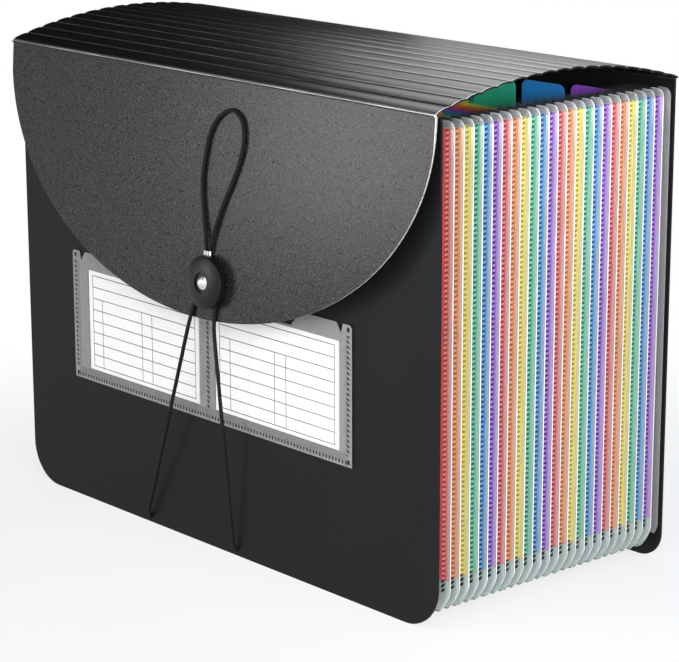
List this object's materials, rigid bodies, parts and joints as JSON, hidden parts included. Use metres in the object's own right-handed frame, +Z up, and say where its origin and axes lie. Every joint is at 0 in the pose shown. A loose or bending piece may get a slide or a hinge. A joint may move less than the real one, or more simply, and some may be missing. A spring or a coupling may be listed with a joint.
{
  "type": "accordion file folder",
  "caption": "Free-standing expanding file folder with coloured tabbed dividers, a pleated lid, a curved flap, a button with an elastic cord, and a label holder.",
  "frame": {"origin": "middle of the footprint, on the surface that the folder stands on", "axes": "+X along the panels, -Y towards the front with the flap and label holder, +Z up"},
  "size_m": [0.333, 0.179, 0.2618],
  "materials": {
    "panel_black": "black, fine upright grain",
    "lid_black": "black, sandy grain, soft sheen",
    "button_black": "moulded black, satin",
    "rivet_metal": "plated steel",
    "crimp_metal": "plated steel",
    "elastic_black": "braided black elastic",
    "clear_film": "clear film",
    "card_white": "white card with a ruled table",
    "grey_film": "grey milky film",
    "sheet_red": "translucent red sheet",
    "sheet_orange": "translucent orange sheet",
    "sheet_yellow": "translucent yellow sheet",
    "sheet_teal": "translucent teal sheet",
    "sheet_blue": "translucent blue sheet",
    "sheet_purple": "translucent purple sheet"
  },
  "bodies": {
    "back_panel": {"back_panel": "panel_black", "gusset_films_left": "grey_film", "gusset_films_right": "grey_film", "bottom_films": "grey_film"},
    "front_panel": {"front_panel": "panel_black", "label_holder": "clear_film", "elastic_cord": "elastic_black", "cord_crimp": "crimp_metal", "cord_knots": "elastic_black"},
    "divider_01": {"divider_01": "sheet_red"},
    "divider_02": {"divider_02": "sheet_orange"},
    "divider_03": {"divider_03": "sheet_yellow"},
    "divider_04": {"divider_04": "sheet_teal"},
    "divider_05": {"divider_05": "sheet_blue"},
    "divider_06": {"divider_06": "sheet_purple"},
    "divider_07": {"divider_07": "sheet_red"},
    "divider_08": {"divider_08": "sheet_orange"},
    "divider_09": {"divider_09": "sheet_yellow"},
    "divider_10": {"divider_10": "sheet_teal"},
    "divider_11": {"divider_11": "sheet_blue"},
    "divider_12": {"divider_12": "sheet_purple"},
    "divider_13": {"divider_13": "sheet_red"},
    "divider_14": {"divider_14": "sheet_orange"},
    "divider_15": {"divider_15": "sheet_yellow"},
    "divider_16": {"divider_16": "sheet_teal"},
    "divider_17": {"divider_17": "sheet_blue"},
    "divider_18": {"divider_18": "sheet_purple"},
    "divider_19": {"divider_19": "sheet_red"},
    "divider_20": {"divider_20": "sheet_orange"},
    "divider_21": {"divider_21": "sheet_yellow"},
    "divider_22": {"divider_22": "sheet_teal"},
    "divider_23": {"divider_23": "sheet_blue"},
    "divider_24": {"divider_24": "sheet_purple"},
    "lid": {"lid": "lid_black"},
    "lid_front_strip": {"lid_front_strip": "lid_black"},
    "flap": {"flap": "lid_black", "closure_button": "button_black", "button_rivet": "rivet_metal"},
    "label_card_left": {"label_card_left": "card_white"},
    "label_card_right": {"label_card_right": "card_white"}
  },
  "joints": [
    {"name": "expand", "type": "slide", "parent": "back_panel", "child": "front_panel", "axis": [0, -1, 0], "range_m": [-0.12128, 0], "deforming": ["gusset_films_left", "gusset_films_right", "bottom_films", "lid"]},
    {"name": "divider_01_slide", "type": "slide", "parent": "back_panel", "child": "divider_01", "axis": [0, -1, 0], "range_m": [-0.11349, 0]},
    {"name": "divider_02_slide", "type": "slide", "parent": "back_panel", "child": "divider_02", "axis": [0, -1, 0], "range_m": [-0.10873, 0]},
    {"name": "divider_03_slide", "type": "slide", "parent": "back_panel", "child": "divider_03", "axis": [0, -1, 0], "range_m": [-0.10397, 0]},
    {"name": "divider_04_slide", "type": "slide", "parent": "back_panel", "child": "divider_04", "axis": [0, -1, 0], "range_m": [-0.09921, 0]},
    {"name": "divider_05_slide", "type": "slide", "parent": "back_panel", "child": "divider_05", "axis": [0, -1, 0], "range_m": [-0.09445, 0]},
    {"name": "divider_06_slide", "type": "slide", "parent": "back_panel", "child": "divider_06", "axis": [0, -1, 0], "range_m": [-0.08969, 0]},
    {"name": "divider_07_slide", "type": "slide", "parent": "back_panel", "child": "divider_07", "axis": [0, -1, 0], "range_m": [-0.08493, 0]},
    {"name": "divider_08_slide", "type": "slide", "parent": "back_panel", "child": "divider_08", "axis": [0, -1, 0], "range_m": [-0.08017, 0]},
    {"name": "divider_09_slide", "type": "slide", "parent": "back_panel", "child": "divider_09", "axis": [0, -1, 0], "range_m": [-0.07541, 0]},
    {"name": "divider_10_slide", "type": "slide", "parent": "back_panel", "child": "divider_10", "axis": [0, -1, 0], "range_m": [-0.07065, 0]},
    {"name": "divider_11_slide", "type": "slide", "parent": "back_panel", "child": "divider_11", "axis": [0, -1, 0], "range_m": [-0.06589, 0]},
    {"name": "divider_12_slide", "type": "slide", "parent": "back_panel", "child": "divider_12", "axis": [0, -1, 0], "range_m": [-0.06113, 0]},
    {"name": "divider_13_slide", "type": "slide", "parent": "back_panel", "child": "divider_13", "axis": [0, -1, 0], "range_m": [-0.05637, 0]},
    {"name": "divider_14_slide", "type": "slide", "parent": "back_panel", "child": "divider_14", "axis": [0, -1, 0], "range_m": [-0.05161, 0]},
    {"name": "divider_15_slide", "type": "slide", "parent": "back_panel", "child": "divider_15", "axis": [0, -1, 0], "range_m": [-0.04685, 0]},
    {"name": "divider_16_slide", "type": "slide", "parent": "back_panel", "child": "divider_16", "axis": [0, -1, 0], "range_m": [-0.04209, 0]},
    {"name": "divider_17_slide", "type": "slide", "parent": "back_panel", "child": "divider_17", "axis": [0, -1, 0], "range_m": [-0.03733, 0]},
    {"name": "divider_18_slide", "type": "slide", "parent": "back_panel", "child": "divider_18", "axis": [0, -1, 0], "range_m": [-0.03257, 0]},
    {"name": "divider_19_slide", "type": "slide", "parent": "back_panel", "child": "divider_19", "axis": [0, -1, 0], "range_m": [-0.02781, 0]},
    {"name": "divider_20_slide", "type": "slide", "parent": "back_panel", "child": "divider_20", "axis": [0, -1, 0], "range_m": [-0.02305, 0]},
    {"name": "divider_21_slide", "type": "slide", "parent": "back_panel", "child": "divider_21", "axis": [0, -1, 0], "range_m": [-0.01829, 0]},
    {"name": "divider_22_slide", "type": "slide", "parent": "back_panel", "child": "divider_22", "axis": [0, -1, 0], "range_m": [-0.01353, 0]},
    {"name": "divider_23_slide", "type": "slide", "parent": "back_panel", "child": "divider_23", "axis": [0, -1, 0], "range_m": [-0.00877, 0]},
    {"name": "divider_24_slide", "type": "slide", "parent": "back_panel", "child": "divider_24", "axis": [0, -1, 0], "range_m": [-0.00401, 0]},
    {"name": "lid_hinge", "type": "hinge", "parent": "back_panel", "child": "lid", "pos_m": [0, 0.08951, 0.24805], "axis": [-1, 0, 0], "range_deg": [0, 180], "deforming": ["elastic_cord", "cord_crimp"]},
    {"name": "lid_stretch", "type": "slide", "parent": "lid", "child": "lid_front_strip", "axis": [0, -1, 0], "range_m": [-0.12129, 0]},
    {"name": "flap_hinge", "type": "hinge", "parent": "lid_front_strip", "child": "flap", "pos_m": [0, -0.07377, 0.24805], "axis": [-1, 0, 0], "range_deg": [0, 180], "deforming": ["elastic_cord", "cord_crimp"]},
    {"name": "label_card_left_slide", "type": "slide", "parent": "front_panel", "child": "label_card_left", "axis": [0, 0, 1], "range_m": [0, 0.07]},
    {"name": "label_card_right_slide", "type": "slide", "parent": "front_panel", "child": "label_card_right", "axis": [0, 0, 1], "range_m": [0, 0.07]}
  ],
  "couplings": [
    {"joint": "divider_01_slide", "follows": "expand", "ratio": 0.93569},
    {"joint": "divider_02_slide", "follows": "expand", "ratio": 0.89644},
    {"joint": "divider_03_slide", "follows": "expand", "ratio": 0.85719},
    {"joint": "divider_04_slide", "follows": "expand", "ratio": 0.81794},
    {"joint": "divider_05_slide", "follows": "expand", "ratio": 0.77869},
    {"joint": "divider_06_slide", "follows": "expand", "ratio": 0.73945},
    {"joint": "divider_07_slide", "follows": "expand", "ratio": 0.7002},
    {"joint": "divider_08_slide", "follows": "expand", "ratio": 0.66095},
    {"joint": "divider_09_slide", "follows": "expand", "ratio": 0.6217},
    {"joint": "divider_10_slide", "follows": "expand", "ratio": 0.58245},
    {"joint": "divider_11_slide", "follows": "expand", "ratio": 0.54321},
    {"joint": "divider_12_slide", "follows": "expand", "ratio": 0.50396},
    {"joint": "divider_13_slide", "follows": "expand", "ratio": 0.46471},
    {"joint": "divider_14_slide", "follows": "expand", "ratio": 0.42546},
    {"joint": "divider_15_slide", "follows": "expand", "ratio": 0.38621},
    {"joint": "divider_16_slide", "follows": "expand", "ratio": 0.34697},
    {"joint": "divider_17_slide", "follows": "expand", "ratio": 0.30772},
    {"joint": "divider_18_slide", "follows": "expand", "ratio": 0.26847},
    {"joint": "divider_19_slide", "follows": "expand", "ratio": 0.22922},
    {"joint": "divider_20_slide", "follows": "expand", "ratio": 0.18997},
    {"joint": "divider_21_slide", "follows": "expand", "ratio": 0.15073},
    {"joint": "divider_22_slide", "follows": "expand", "ratio": 0.11148},
    {"joint": "divider_23_slide", "follows": "expand", "ratio": 0.07223},
    {"joint": "divider_24_slide", "follows": "expand", "ratio": 0.032982},
    {"joint": "lid_stretch", "follows": "expand", "ratio": 1}
  ]
}
